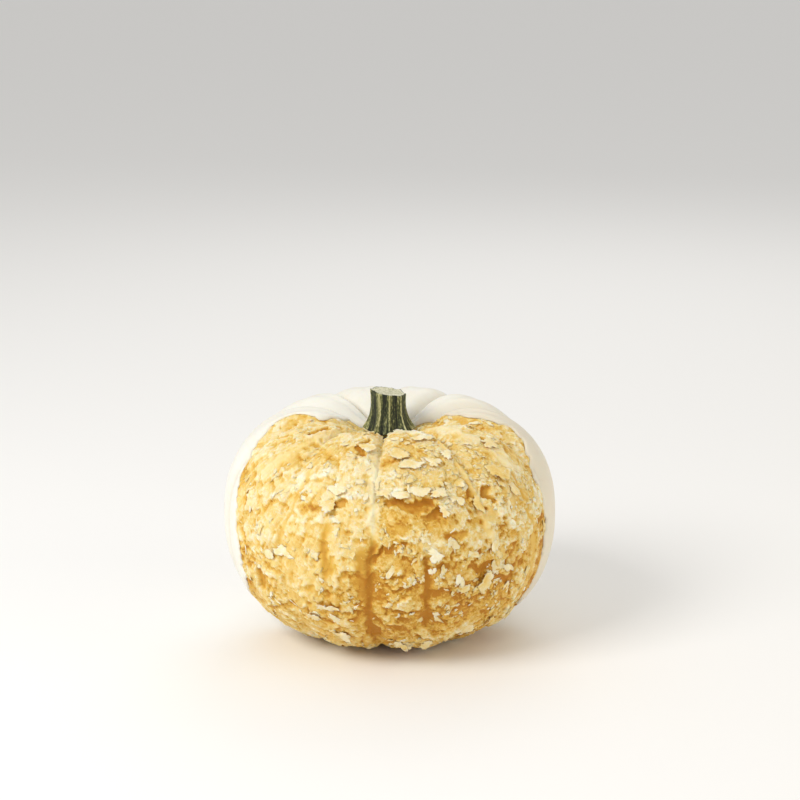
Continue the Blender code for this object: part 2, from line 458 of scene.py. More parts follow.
class RindSettings(bpy.types.PropertyGroup):
    spacing: length_setting("Spacing", "Distance between the skin's points", 1.35 * MM)
    thickness: length_setting("Thickness", "Thickness of the skin", 1.2 * MM)
    colour: colour_setting("Colour", "Main colour of the skin", (0.90, 0.86, 0.76))
    scar_radius: length_setting("Scar Radius", "Half the width of the blossom scar", 6 * MM)
    cork: colour_setting("Cork", "Colour of the blossom scar", (0.36, 0.25, 0.14))
    # Painted shade on the skin along its grooves and on its right side, and the paler grain of the blossom
    # scar
    painted_shade_and_scar_grain: colour_setting("Groove Colour", "Colour along the grooves", (0.80, 0.71, 0.56))


class StemSettings(bpy.types.PropertyGroup):
    radius: length_setting("Radius", "Half the stem's thickness", 7.5 * MM)
    dark: colour_setting("Dark", "Colour in the furrows", (0.005, 0.009, 0.004))
    green: colour_setting("Green", "Main colour of the stem's skin", (0.045, 0.058, 0.018))
    light: colour_setting("Light", "Colour of the stripes", (0.22, 0.23, 0.08))
    straw: colour_setting("Straw", "Colour of the stripes' middles", (0.60, 0.58, 0.30))
    cut: colour_setting("Cut", "Colour of the cut face", (0.68, 0.65, 0.46))
    cut_pale: colour_setting("Cut Pith", "Colour of its pith", (0.84, 0.81, 0.68))


class StageSettings(bpy.types.PropertyGroup):
    distance: length_setting("Distance", "Camera to squash", 0.95)
    elevation: FloatProperty(
        name="Elevation",
        description="How far the camera looks down",
        default=math.radians(17.5),
        subtype="ANGLE",
    )
    lens: FloatProperty(name="Lens", description="Focal length in millimetres", default=92.64)
    floor: colour_setting("Floor", "Colour of the floor", (0.93, 0.925, 0.915))


# The flesh

# Azimuths in degrees, either side of a groove
FLESH_SIDES = {"flesh_left": (186, 306), "flesh_right": (60, 186)}
FLESH_REACH = (-81, 87)  # lowest and highest latitude in degrees
CLOSE_REACH = math.radians(80)  # how far round from the middle of the front the points lie close together
WIDE_GAP = 2.4  # how much wider apart the columns are past that
FIBRE_LEANS = ((-60, -30, -6, 8, 30, 70), (0.45, 0.42, 0.03, -0.1, -0.28, -0.1))  # at degrees, in radians
FIBRE_RADIUS = 66  # millimetres from the fruit's axis to the fibres
LOOSENESS = ((-60, -25, 0, 60), (0.30, 0.38, 0.52, 0.55))  # at degrees from the middle of the front
COVER_GAIN = 0.62  # turns a share of the surface into a level of the crust's noise

# Sizes of the layers that the torn flesh is made of, in millimetres, and the seeds of their noise
LAYER_SIZES = {
    "left": 22, "low": 20, "body": 17, "soft": 6, "big": 15, "mid": 6.5, "small": 3.0, "chips": 1.9,
    "crumbs": 1.4,
}
LAYER_SEEDS = {
    "left": 90, "low": 95, "body": 100, "soft": 105, "big": 120, "mid": 160, "small": 200, "chips": 240,
    "threads": 280, "crumbs": 300,
}
# Each layer's rise in millimetres and how much it lightens the flesh, and how much less of each on the left
LAYERS = {
    # The left's lightening of the tone is painted light, on the key lamp's side
    "left": (0, 0.08, 0, 0),
    "low": (0, -0.12, 0, 0),
    "body": (0.45, 0.12, 0, 0),
    "soft": (0.12, 0.10, 0, 0),
    "big": (0.80, 0.18, 0, 0),
    "mid": (0.60, 0.22, 0.3, 0),
    "small": (0.30, 0.17, 0.6, 0),
    "chips": (0.22, 0.16, 0.8, 0.6),
    "threads": (0.26, 0.12, 0, 0),
    "crumbs": (0.05, 0.10, 0, 0),
    # The gap under the patches' edges is sunk, and its darkening is painted shadow
    "under": (-0.35, -0.28, 0, 0),
}
# How much less a patch's inside is lightened than its torn edge: the edge's extra lightness is a painted
# highlight
PAINTED_EDGE_HIGHLIGHT = {"big": 0.4, "mid": 0.4, "small": 0.3}
# Strength of the gap below each patch's torn edge, which is sunk and darkened with painted shadow, and rows
# of points below the edge
SHADOW_UNDER_REACH = {"big": (1.3, 7), "mid": (0.9, 4), "small": (0.45, 2)}
LEVEL = -0.9  # height between the patches, in millimetres
GROUND_TONE = 0.345
MIDDLE_TONE = 0.46  # the tone that contrast works round
LOW_HEIGHT = 52  # millimetres; below about here the flesh is more golden
CALM_HEIGHTS = (70, 92)  # millimetres; the flesh grows calmer and paler between them
FADED_DEGREES = (36, 22)  # where the flesh fades at the top: the middle and half the width
FADED_HEIGHTS = (94, 103)

# (degrees from the middle of the front, height, half width, half height, depth), lengths in millimetres
HOLLOWS = (
    (6, 79.5, 11, 3.6, 2.0),
    (16, 75, 5, 3.2, 1.5),
    (-17, 78, 3.6, 3.4, 1.5),
    (-51, 37, 4.5, 5.0, 1.6),
    (38, 79, 4.2, 3.4, 1.6),
    (31, 80, 3.0, 3.0, 1.3),
    (-4, 56, 1.6, 5.0, 1.5),
    (-7, 19, 3.6, 6.0, 1.3),
    (52, 97, 3.0, 2.0, 1.2),
    (-50, 100, 4.0, 1.6, 1.1),
    (-14, 97, 5.0, 1.8, 1.1),
    (65, 78, 1.0, 6.0, 1.4),
    (67, 60, 1.0, 7.0, 1.3),
    (45, 40, 2.2, 4.4, 1.1),
    (-60, 72, 1.3, 5.0, 1.1),
    (24, 66, 6.5, 3.0, 0.8),
)
# The hollows' dark floors are partly the deeper flesh's own orange and partly painted shade, darkest under
# their upper lips; the lips' lightening is a painted highlight
HOLLOW_TONE = 0.02
LIP_RISE = 0.35
LIP_HIGHLIGHT = 0.18

# ((degrees from the middle of the front, height) ... ), half width, rise, tone, lengths in millimetres
# Where a strand sinks, its low tone is partly the flesh's deeper orange and partly painted shade in the
# groove
STRANDS = (
    (((27, 102), (31, 90), (33, 76), (35, 66), (38, 54)), 1.7, 0.8, 0.66),
    (((-6, 96), (-6, 80), (-5, 64)), 2.2, 0.6, 0.88),
    (((-9, 62), (-10, 45), (-9, 34)), 3.0, -0.7, 0.16),
    (((-6, 64), (-7, 40), (-7, 8)), 2.0, -1.4, 0.02),
    (((12, 58), (13, 40), (14, 20)), 2.4, -1.7, -0.02),
    (((-21, 72), (-23, 60), (-21, 45)), 2.9, -0.8, 0.16),
    (((50, 92), (56, 70), (60, 45)), 1.2, -0.5, 0.35),
    (((34, 108), (48, 99), (57, 84)), 6.0, 0.2, 0.80),
    (((-30, 108), (-44, 100), (-58, 82)), 5.0, 0.1, 0.70),
    (((60, 60), (59, 40), (54, 20)), 2.0, -0.4, 0.38),
    (((-32, 95), (-36, 75), (-44, 50)), 1.5, -0.35, 0.42),
)
STRAND_FADE = (2, 5)  # millimetres past and before its end over which a strand fades
STRAND_HOLD = 0.8  # how much of the flesh's own tone a strand takes away

WOBBLE_SIZE = 6.0  # millimetres
WOBBLE_SEED = 300
HOLLOW_WOBBLE = 4.4  # how far the hollows' outlines stray, in millimetres
STRAND_WOBBLE = (2.2, 3.0)  # the same of the strands' sides and ends

EDGE_CALM = 0.65  # how much of the relief is gone at the skin's torn edge
EDGE_SINK = 0.05  # how far the flesh sinks there, in millimetres
LOWEST_FLESH = 0.15 * MM  # height over the ground


def flesh_grid(settings, start, end):
    """Latitudes and azimuths of one side of the flesh: close together on the front, wide apart past it."""
    latitude, length = latitudes_by_length()
    first, last = np.interp(np.radians(FLESH_REACH), latitude, length)
    rows = np.interp(np.linspace(first, last, int((last - first) / settings.spacing)), length, latitude)

    def gaps(place):
        angle = np.abs(place / HALF_WIDTH + start - math.pi)
        return np.where(angle < CLOSE_REACH, 1.0, WIDE_GAP) * settings.spacing

    columns = start + spread_evenly(gaps, (end - start) * HALF_WIDTH) / HALF_WIDTH
    return np.meshgrid(rows, columns, indexing="ij")


def along_meridian(latitude):
    """Millimetres along the outline, upwards from the waist."""
    table, length = latitudes_by_length()
    return (np.interp(latitude, table, length) - np.interp(0, table, length)) / MM


def fibre_lean(angle):
    """How far the fibres lean from upright at each angle from the middle of the front, in radians."""
    return np.interp(angle, *FIBRE_LEANS)


def crust(points, name, cover, edge=0.22, ragged=0.45):
    """Ragged patches of torn crust: 1 on a patch, 0 between, and how far inside its edge each point is.

    cover is about the share of the surface that they take.
    """
    size, seed = LAYER_SIZES[name], LAYER_SEEDS[name]
    warped = points + ragged * size * fractal_vectors(points / (0.6 * size), seed, 3)
    level = fractal(warped / size, seed + 40, 4) + COVER_GAIN * (2 * np.clip(cover, 0, 1) - 1)
    return ramp(level, 0, edge), ramp(level, 0, 0.5)


def shade_below(patch, reach):
    """How much each point lies in the gap just below a patch's torn edge, which the flesh sinks and darkens
    with painted shadow. reach is in rows of points.
    """
    above = np.zeros_like(patch)
    for step in range(1, reach + 1):
        moved = np.concatenate([patch[step:], np.repeat(patch[-1:], step, axis=0)])
        above = np.maximum(above, moved * (1 - 0.7 * (step - 1) / reach))
    return np.clip(above - patch, 0, 1)


def looseness(azimuth, points):
    """How crumbly the flesh is, from 0 on the smooth left to 1."""
    return np.clip(np.interp(front_angle(azimuth), *LOOSENESS) + 0.35 * fractal(points / 9, 340, 2), 0, 1)


def layer_noise(points, name, octaves):
    return fractal(points / LAYER_SIZES[name], LAYER_SEEDS[name], octaves)


def flesh_threads(latitude, azimuth, points, soft):
    """Fine threads along the leaning fibres: about 1 on a thread, and under 0 between them."""
    angle = front_angle(azimuth)
    length = along_meridian(latitude)
    across = np.radians(angle) * FIBRE_RADIUS - fibre_lean(angle) * (length - 5)
    fibres = np.stack([across, length * 0.4, points[..., 1] * 0.3], axis=-1)
    stretched = fibres * np.array([0.62, 0.2, 0.2]) + 0.5 * soft[..., None]
    return 1 - 2.6 * np.abs(fractal(stretched, LAYER_SEEDS["threads"], 3))


def flesh_layers(latitude, azimuth, points):
    """The layers that the flesh's relief and tone are made of, and how far inside a patch each point is."""
    angle, up = front_angle(azimuth), points[..., 2]
    layers, inside = {}, {}
    left = ramp(-angle + 10 * layer_noise(points, "left", 2), 0, 22)
    low = ramp(LOW_HEIGHT - up + 14 * layer_noise(points, "low", 2), -14, 14)
    body, soft = layer_noise(points, "body", 4), layer_noise(points, "soft", 3)
    layers.update(left=left, low=low, body=body, soft=soft)
    layers["big"], inside["big"] = crust(points, "big", 0.55 - 0.10 * low + 0.1 * left)
    layers["mid"], inside["mid"] = crust(points, "mid", 0.46 - 0.06 * low + 0.10 * left)
    layers["small"], inside["small"] = crust(points, "small", 0.36 + 0.08 * body, edge=0.3)
    layers["chips"], _ = crust(points * np.array([0.8, 1, 1.35]), "chips", 0.24 + 0.16 * soft, edge=0.35)
    layers["threads"] = flesh_threads(latitude, azimuth, points, soft) * (0.15 + 0.85 * left)
    layers["crumbs"] = layer_noise(points, "crumbs", 2)
    # Painted shadow in the gaps just below the patches' torn edges
    gaps = [strength * shade_below(layers[name], rows) for name, (strength, rows) in SHADOW_UNDER_REACH.items()]
    layers["under"] = np.minimum(sum(gaps), 1)
    return layers, inside


def flesh_relief(latitude, azimuth, points):
    """Height of the flesh over its mean level, in millimetres, and its tone from 0, deep, to 1, cream."""
    layers, inside = flesh_layers(latitude, azimuth, points)
    left = layers["left"]
    height = np.full(left.shape, LEVEL)
    tone = np.full(left.shape, GROUND_TONE)
    for name, (rise, lighter, less_rise, less_lighter) in LAYERS.items():
        # Painted highlight: a patch's torn edge is lightened more than its inside
        lit_edge = 1 - PAINTED_EDGE_HIGHLIGHT[name] * inside[name] if name in PAINTED_EDGE_HIGHLIGHT else 1
        height += rise * layers[name] * (1 - less_rise * left)
        tone += lighter * layers[name] * lit_edge * (1 - less_lighter * left)
    high = ramp(points[..., 2], *CALM_HEIGHTS)
    faded = bell(front_angle(azimuth), *FADED_DEGREES) * ramp(points[..., 2], *FADED_HEIGHTS)
    contrast = 1.35 - 0.45 * np.maximum(high, 0.8 * left)
    tone = MIDDLE_TONE + contrast * (tone - MIDDLE_TONE) + 0.05 * high + 0.32 * faded
    return height * (1 - 0.22 * np.maximum(high, left)), tone


def arc_length(degrees):
    """Millimetres round the fruit's waist for an angle."""
    return np.radians(degrees) * HALF_WIDTH / MM


def add_hollows(across, along, uneven, height, tone, bare):
    """Sinks each hollow and darkens it, partly with its own deeper orange and partly with painted shade, and
    raises the lip over it, lightened with a painted highlight. across and along are places in millimetres.
    """
    for degrees, level, wide, tall, deep in HOLLOWS:
        rise = (along - level) / tall
        out = np.hypot((across - arc_length(degrees)) / wide, rise)
        hole = 1 - ramp(out, 0.80, 1.05)
        lip = bell(out, 1.25, 0.2) * ramp(rise, -0.2, 0.8)
        # Partly painted shade, darkest just under the hollow's upper lip
        floor = HOLLOW_TONE - 0.10 * rise + 0.14 * uneven
        bare = np.maximum(bare, hole)
        height = height * (1 - 0.6 * hole) - deep * hole + LIP_RISE * lip
        tone = tone * (1 - 0.7 * hole) + hole * floor + LIP_HIGHLIGHT * lip
    return height, tone, bare


def add_strands(arc, up, wobble, height, tone, bare):
    """Raises or sinks each strand along its path. arc and up are places in millimetres."""
    past, before = STRAND_FADE
    for path, wide, rise, shade in STRANDS:
        degrees, levels = np.array(path, float).T
        order = np.argsort(levels)
        middle = arc_length(np.interp(up, levels[order], degrees[order]))
        level = up + STRAND_WOBBLE[1] * wobble[..., 1]
        starts = ramp(level, levels.min() - past, levels.min() + before)
        ends = starts * (1 - ramp(level, levels.max() - before, levels.max() + past))
        breadth = wide * (0.35 + 0.65 * ends) * (1 + 0.7 * wobble[..., 2])
        band = bell(arc + STRAND_WOBBLE[0] * wobble[..., 0], middle, breadth) * ends
        bare = np.maximum(bare, 0.8 * band)
        height = height * (1 - 0.5 * band) + rise * band
        tone = tone * (1 - STRAND_HOLD * band) + (shade + 0.10 * wobble[..., 2]) * STRAND_HOLD * band
    return height, tone, bare


def add_features(azimuth, points, height, tone):
    """Adds the hollows and strands at their own places, and says where they bare smooth flesh."""
    arc, up = arc_length(front_angle(azimuth)), points[..., 2]
    wobble = fractal_vectors(points / WOBBLE_SIZE, WOBBLE_SEED, 4)
    across = arc + HOLLOW_WOBBLE * wobble[..., 0]
    along = up + HOLLOW_WOBBLE * wobble[..., 1]
    height, tone, bare = add_hollows(across, along, wobble[..., 2], height, tone, np.zeros_like(height))
    return add_strands(arc, up, wobble, height, tone, bare)


def close_to_middle(rows, columns):
    """Faces that close a grid's open edges onto one inner point, and the edges' points in order."""
    last = (rows - 1) * columns
    border = list(range(columns))
    border += [row * columns + columns - 1 for row in range(1, rows)]
    border += list(range(last + columns - 2, last - 1, -1))
    border += [row * columns for row in range(rows - 2, 0, -1)]
    following = border[1:] + border[:1]
    return [(rows * columns, after, here) for here, after in zip(border, following)], border


def sharpen_border(piece, border):
    """Keeps the smooth shading of a piece's outside from bending over its border."""
    mesh = piece.data
    ends = np.empty(len(mesh.edges) * 2, np.int64)
    mesh.edges.foreach_get("vertices", ends)
    inside = np.isin(ends.reshape(-1, 2), border).all(axis=1)
    sharp = mesh.attributes.new("sharp_edge", "BOOLEAN", "EDGE")
    sharp.data.foreach_set("value", inside)


class SQUASH_OT_flesh(bpy.types.Operator):
    """Builds the two sides of the peeled flesh, torn into layers and crumbs"""

    bl_idname = "squash.flesh"
    bl_label = "Flesh"

    def execute(self, context):
        settings = context.scene.squash_flesh
        material = flesh_material("squash flesh", settings, 0.30, 1.5 * MM)
        for name, (start, end) in FLESH_SIDES.items():
            latitude, azimuth = flesh_grid(settings, math.radians(start), math.radians(end))
            depth_in = inside_peel(latitude, azimuth)
            shown = ramp(depth_in, -0.2 * MM, 0.6 * MM)
            near_edge = 1 - ramp(depth_in, 0, settings.edge_reach)
            inset = settings.recess - (settings.recess - settings.edge_recess) * near_edge * shown
            base = fruit_points(latitude, azimuth, inset)
            normal = grid_normals(fruit_points(latitude, azimuth, settings.recess))
            height, tone = flesh_relief(latitude, azimuth, base / MM)
            height, tone, bare = add_features(azimuth, base / MM, height, tone)
            height = height * (1 - EDGE_CALM * near_edge) - EDGE_SINK * near_edge
            height = np.minimum(height, (inset - settings.proudest) / MM)
            points = base + normal * (height * shown * MM)[..., None]
            points[..., 2] = np.maximum(points[..., 2], LOWEST_FLESH)
            points[..., 1] = np.maximum(points[..., 1], CAD_BOX[0].y + 0.01 * MM)
            rows, columns = latitude.shape
            closing, border = close_to_middle(rows, columns)
            faces = grid_faces(rows, columns, wrap=False).tolist() + closing
            middle = np.array([[0, 0, HALF_WIDTH * WAIST_HEIGHT]])
            spots = np.concatenate([points.reshape(-1, 3), middle])
            flesh = new_piece(name, spots, faces, material)
            sharpen_border(flesh, border)
            loose = looseness(azimuth, base / MM) * (1 - bare)
            store(flesh, "tone", np.append(tone.ravel(), 0.5))
            store(flesh, "loose", np.append(loose.ravel(), 0.5))
            store(flesh, "room", np.append((shown * (1 - bare)).ravel(), 0))
            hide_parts("squash")
        return {"FINISHED"}


def flesh_material(name, settings, scattering, reach):
    """Golden to cream by the flesh's stored tone, with finer crumbs on it.

    reach is how far light goes through it, in metres.
    """
    material, tree, shader = new_material(name)
    loose = attribute_value(tree, "loose")
    larger = place_group(tree, crumbs_group(), Size=3.4)
    smaller = place_group(tree, crumbs_group(), Size=1.3)
    tree.links.new(loose, larger.inputs["Cover"])
    tree.links.new(loose, smaller.inputs["Cover"])
    crumbs = math_node(tree, "MULTIPLY", larger.outputs["Crumb"], 0.12)
    crumbs = math_node(tree, "ADD", crumbs, math_node(tree, "MULTIPLY", smaller.outputs["Crumb"], 0.13))
    tone = math_node(tree, "ADD", attribute_value(tree, "tone"), math_node(tree, "SUBTRACT", crumbs, 0.11))
    stops = (settings.deep, settings.golden, settings.middle, settings.pale, settings.cream)
    colours = colour_ramp(tree, list(zip((0.0, 0.25, 0.5, 0.75, 1.0), stops)))
    tree.links.new(tone, colours.inputs["Fac"])
    tree.links.new(colours.outputs["Color"], shader.inputs["Base Color"])
    fill(shader, Roughness=0.55, Subsurface_Weight=scattering, Subsurface_Scale=reach, IOR=1.4)
    shader.inputs["Subsurface Radius"].default_value = (1.0, 0.6, 0.2)
    lower = math_node(tree, "MULTIPLY", smaller.outputs["Height"], 0.55)
    add_bump(tree, shader, math_node(tree, "ADD", larger.outputs["Height"], lower), 0.14 * MM, 0.7)
    return material


# Flakes, chips and shreds

RIM_WAVES = (2, 3, 5, 7, 11)  # how often each wave of a flake's outline goes round it
RIM_RAGGED = 0.36
ANY_TURN = 6.28
LEAST_ROOM = 0.75  # flakes keep to points of the flesh with at least this much room for them
FLAKE_TURN_OUT = 0.55  # how much a flake faces outwards from the fruit, not along the flesh's own normal
# A painted highlight lightens each flake's rim
PAINTED_RIM_HIGHLIGHT = 0.16
PAINTED_UNDERSIDE_SHADE = 0.55  # painted shade: how much deeper a flake's underside is than its top
FLAKE_LOOSE = 0.3
FLAKE_SEED = 7


def clumps(points, angle):
    """Flakes crowd together in clumps, and less on the left."""
    sideways = np.interp(angle, (-60, -10, 10, 60), (0.3, 0.5, 1, 0.9))
    return ramp(fractal(points / 9, 500, 3), -0.15, 0.5) * sideways + 0.02


def on_the_left(points, angle):
    """Shreds lie mostly on the left."""
    sideways = np.interp(angle, (-60, -10, 10, 60), (1, 1, 0.3, 0.5))
    return sideways * ramp(fractal(points / 10, 520, 2), -0.4, 0.4) + 0.05


# name: (how many, smallest and largest radius in millimetres, where they crowd, points round the rim, the
# shares of the radius that the loops of points lie at, look)
FLAKE_KINDS = {
    "flakes": (
        60, (1.6, 3.6), clumps, 30, (0.35, 0.7, 0.9, 1.0),
        {"jag": 0.14, "stretch": (0, 0.9), "bend": (-0.2, 0.2), "scatter": 0.9, "tilt": (0.08, 0.24),
         "curl": (-0.02, 0.06), "ruffle": 0.05, "thickness": 0.13, "lift": -0.04, "tone": (0.5, 0.8)},
    ),
    "chips": (
        760, (0.6, 1.9), clumps, 13, (0.6, 1.0),
        {"jag": 0.38, "stretch": (0, 1.0), "bend": (-0.2, 0.2), "scatter": 1.2, "tilt": (0.0, 0.30),
         "curl": (-0.1, 0.10), "ruffle": 0.08, "thickness": 0.3, "lift": -0.05, "tone": (0.5, 0.88)},
    ),
    "shreds": (
        70, (1.2, 2.6), on_the_left, 14, (0.6, 1.0),
        {"jag": 0.2, "stretch": (0.9, 1.7), "bend": (-0.1, 0.1), "scatter": 0.25, "tilt": (0.0, 0.10),
         "curl": (-0.02, 0.03), "ruffle": 0.03, "thickness": 0.2, "lift": -0.15, "tone": (0.5, 0.82)},
    ),
}

# The largest flakes: (degrees from the middle of the front, latitude, radius in mm, stretch, turn, tone)
LARGE_FLAKES = (
    (12, 79, 3.0, 1.2, 1.4, 0.75),
    (4, 52, 4.2, 1.2, 1.2, 0.66),
    (9, 45, 4.0, 2.2, 1.3, 0.85),
    (19, 46, 3.2, 1.4, 0.6, 0.88),
    (27, 50, 2.8, 1.3, 0.2, 0.85),
    (19, 62, 3.2, 1.8, 1.4, 0.8),
    (-2, 31, 3.4, 1.6, 1.2, 0.8),
    (4, 29, 3.2, 1.8, 1.5, 0.85),
    (11, 30, 3.6, 1.6, 1.7, 0.8),
    (18, 29, 3.2, 1.4, 1.9, 0.8),
    (24, 25, 2.8, 1.2, 0.5, 0.9),
    (19, 20, 2.6, 1.5, 0.3, 0.9),
    (15, 1, 3.0, 1.2, 0.7, 0.95),
    (14, -4, 1.5, 1.4, 0.0, 0.92),
    (47, 34, 5.2, 1.1, 1.2, 0.62),
    (54, 50, 4.0, 1.5, 1.3, 0.7),
    (50, 24, 3.0, 2.0, -0.2, 0.75),
    (33, 22, 3.4, 2.4, -0.15, 0.62),
    (38, 3, 3.2, 2.6, -0.35, 0.82),
    (35, -13, 4.4, 1.5, -0.1, 0.66),
    (24, -9, 2.4, 2.0, 0.2, 0.9),
    (44, -8, 2.4, 2.4, 0.9, 0.8),
    (-19, 31, 3.8, 1.5, 1.0, 0.8),
    (-22, 23, 4.0, 1.4, 0.7, 0.76),
    (-11, 57, 3.6, 1.3, 0.8, 0.75),
    (-5, 40, 3.8, 1.9, 0.0, 0.78),
    (-39, -1, 3.4, 2.2, 1.3, 0.86),
    (-45, -3, 2.6, 1.4, 0.6, 0.84),
    (-22, -22, 3.0, 2.8, 1.5, 0.85),
    (-29, -29, 3.0, 1.3, 1.1, 0.8),
    (-20, -28, 2.6, 1.6, 0.4, 0.82),
    (-19, -41, 3.0, 1.4, 0.6, 0.75),
    (5, -49, 2.4, 1.5, 0.8, 0.7),
    (17, -50, 2.8, 1.3, 1.3, 0.68),
    (35, -42, 3.6, 1.5, 1.2, 0.66),
    (45, -38, 2.8, 1.6, 1.0, 0.66),
    (66, -43, 4.0, 1.3, 0.9, 0.6),
    (70, -38, 2.8, 1.6, 0.5, 0.66),
)
LARGE_LOOK = {
    "jag": 0.16, "bend": (-0.15, 0.15), "tilt": (0.06, 0.2), "curl": (-0.05, 0.03), "ruffle": 0.05,
    "thickness": 0.15, "lift": -0.04,
}
LARGE_RIM = 44  # points round a large flake's rim
LARGE_LOOPS = (0.3, 0.6, 0.85, 1.0)
LARGE_DEPTH = 0.8 * MM  # how far below the skin's surface they lie
LARGE_DEEPER = 0.06  # how much deeper their tone is made
LOW_FLAKES_HANG = 0.45  # how much more the flakes near the ground hang out
LOW_FLAKES_START = (34, 44)  # degrees below the waist


def read_points(mesh, source, name, width):
    """A mesh's stored numbers, one row for each point."""
    values = np.empty(len(mesh.vertices) * width)
    source.foreach_get(name, values)
    return values.reshape(-1, width) if width > 1 else values


def pick_places(pieces, count, crowding, generator):
    """Points of the flesh's peeled front to put flakes on, evenly spread where crowding is the same."""
    meshes = [piece.data for piece in pieces]
    points = np.concatenate([read_points(mesh, mesh.vertices, "co", 3) for mesh in meshes])
    normals = np.concatenate([read_points(mesh, mesh.vertices, "normal", 3) for mesh in meshes])
    room = np.concatenate([read_points(mesh, mesh.attributes["room"].data, "value", 1) for mesh in meshes])
    angle = front_angle(np.arctan2(points[:, 0], points[:, 1]))
    radius = np.hypot(points[:, 0], points[:, 1])
    weight = np.where(room > LEAST_ROOM, 1, 0) * radius * crowding(points / MM, angle)
    chosen = generator.choice(len(points), count, replace=False, p=weight / weight.sum())
    return points[chosen], normals[chosen], angle[chosen]


def broad_directions(points):
    """Outward directions of the fruit's broad shape at some points."""
    outward = (points - np.array([0, 0, HALF_WIDTH * WAIST_HEIGHT])) / np.array([1.0, 1.0, 0.62]) ** 2
    return outward / np.linalg.norm(outward, axis=-1, keepdims=True)


def draw_flakes(count, size, look, angle, generator):
    """Draws each flake's own values."""
    small, large = size
    return {
        "size": MM * small * (large / small) ** (generator.uniform(0, 1, count) ** 1.8),
        "stretch": np.exp(generator.uniform(*look["stretch"], count)),
        "bend": generator.uniform(*look["bend"], count),
        "turn": -fibre_lean(angle) + generator.normal(0, look["scatter"], count),
        "tilt": np.tan(generator.uniform(*look["tilt"], count)),
        "fall": generator.normal(0, 0.9, count),
        "curl": generator.uniform(*look["curl"], count),
        "tone": generator.uniform(*look["tone"], count),
    }


def wavy_rims(count, around, generator):
    """How much further out than a circle each point of each flake's rim lies."""
    total = np.zeros((count, len(around)))
    for wave in RIM_WAVES:
        strength = generator.normal(0, RIM_RAGGED / wave**0.75, (count, 1))
        total += strength * np.cos(wave * around + generator.uniform(0, ANY_TURN, (count, 1)))
    return total


def flake_faces(count, loops, rim):
    """Faces of closed flakes whose loops of points go from the top's middle round to the underside's."""
    size = loops * rim + 2
    last = (loops - 1) * rim
    caps = [(size - 2, k, (k + 1) % rim) for k in range(rim)]
    caps += [(size - 1, last + (k + 1) % rim, last + k) for k in range(rim)]
    start = (np.arange(count) * size)[:, None, None]
    sides = grid_faces(loops, rim, wrap=True)[None] + start
    return sides.reshape(-1, 4).tolist() + (np.array(caps)[None] + start).reshape(-1, 3).tolist()


def flake_piece(name, places, each, look, rim, rings, generator, material):
    """One object of many thin closed flakes, with loops of points at the rings' shares of their radius."""
    points, normals = places[:2]
    count = len(points)
    outward = broad_directions(points) * FLAKE_TURN_OUT + normals * (1 - FLAKE_TURN_OUT)
    outward /= np.linalg.norm(outward, axis=-1, keepdims=True)
    side = np.cross(np.array([0, 0, 1.0]), outward)
    side /= np.linalg.norm(side, axis=-1, keepdims=True)
    upward = np.cross(outward, side)
    value = {key: values[:, None, None] for key, values in each.items()}
    around = np.linspace(0, 2 * math.pi, rim, endpoint=False)
    waves = wavy_rims(count, around, generator)
    jags = generator.uniform(-look["jag"], look["jag"], (count, rim))
    shares = np.array(rings + rings[-2::-1])
    share = shares[None, :, None]
    top = np.arange(len(shares))[None, :, None] < len(rings)
    outline = np.clip(1 + waves[:, None, :] + jags[:, None, :] * share**3, 0.3, 1.8)
    reach = value["size"] * outline * share
    along = reach * np.sin(around) * np.sqrt(value["stretch"])
    across = reach * np.cos(around) / np.sqrt(value["stretch"]) + value["bend"] * along**2 / value["size"]
    x = across * np.cos(value["turn"]) - along * np.sin(value["turn"])
    y = across * np.sin(value["turn"]) + along * np.cos(value["turn"])
    rise = value["tilt"] * (-y * np.cos(value["fall"]) + x * np.sin(value["fall"]))
    curl = value["curl"] * share**2 * value["size"]
    ripple = np.sin(3 * around + generator.uniform(0, ANY_TURN, (count, 1, 1)))
    ruffle = look["ruffle"] * value["size"] * share**2 * ripple
    thickness = look["thickness"] * value["size"] * (1.05 - share**2)
    apart = 9.0 * np.arange(count)[:, None, None]
    place = np.stack(np.broadcast_arrays(x / MM, y / MM, apart), axis=-1)
    uneven = 0.5 * fractal(place / 3.0, 700, 2)
    z = look["lift"] * value["size"] + rise + curl + ruffle
    z = z + np.where(top, 0.5, -0.5) * thickness + 0.9 * MM * uneven * share
    spots = points[:, None, None, :] + x[..., None] * side[:, None, None, :]
    spots = spots + y[..., None] * upward[:, None, None, :] + z[..., None] * outward[:, None, None, :]
    half = 0.5 * look["thickness"] * each["size"]
    middles = look["lift"] * each["size"][:, None] + np.stack([half, -half], axis=1)
    poles = points[:, None, :] + middles[..., None] * outward[:, None, :]
    spots = np.concatenate([spots.reshape(count, -1, 3), poles], axis=1)
    low, high = np.array(CAD_BOX[0]), np.array(CAD_BOX[1])
    spots = np.clip(spots, low + 0.02 * MM, high - 0.02 * MM)
    piece = new_piece(name, spots, flake_faces(count, len(shares), rim), material)
    # Painted highlight on the flakes' rims and painted shade on their undersides
    tone = value["tone"] + PAINTED_RIM_HIGHLIGHT * share**3 + 0.5 * uneven - np.where(top, 0, PAINTED_UNDERSIDE_SHADE)
    tone = tone + generator.normal(0, 0.05, (count, len(shares), rim))
    store(piece, "tone", np.concatenate([tone.reshape(count, -1), tone[:, 0, :1], tone[:, -1, :1]], axis=1))
    store(piece, "loose", np.full(spots.shape[:2], FLAKE_LOOSE))
    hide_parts("squash")
    return piece


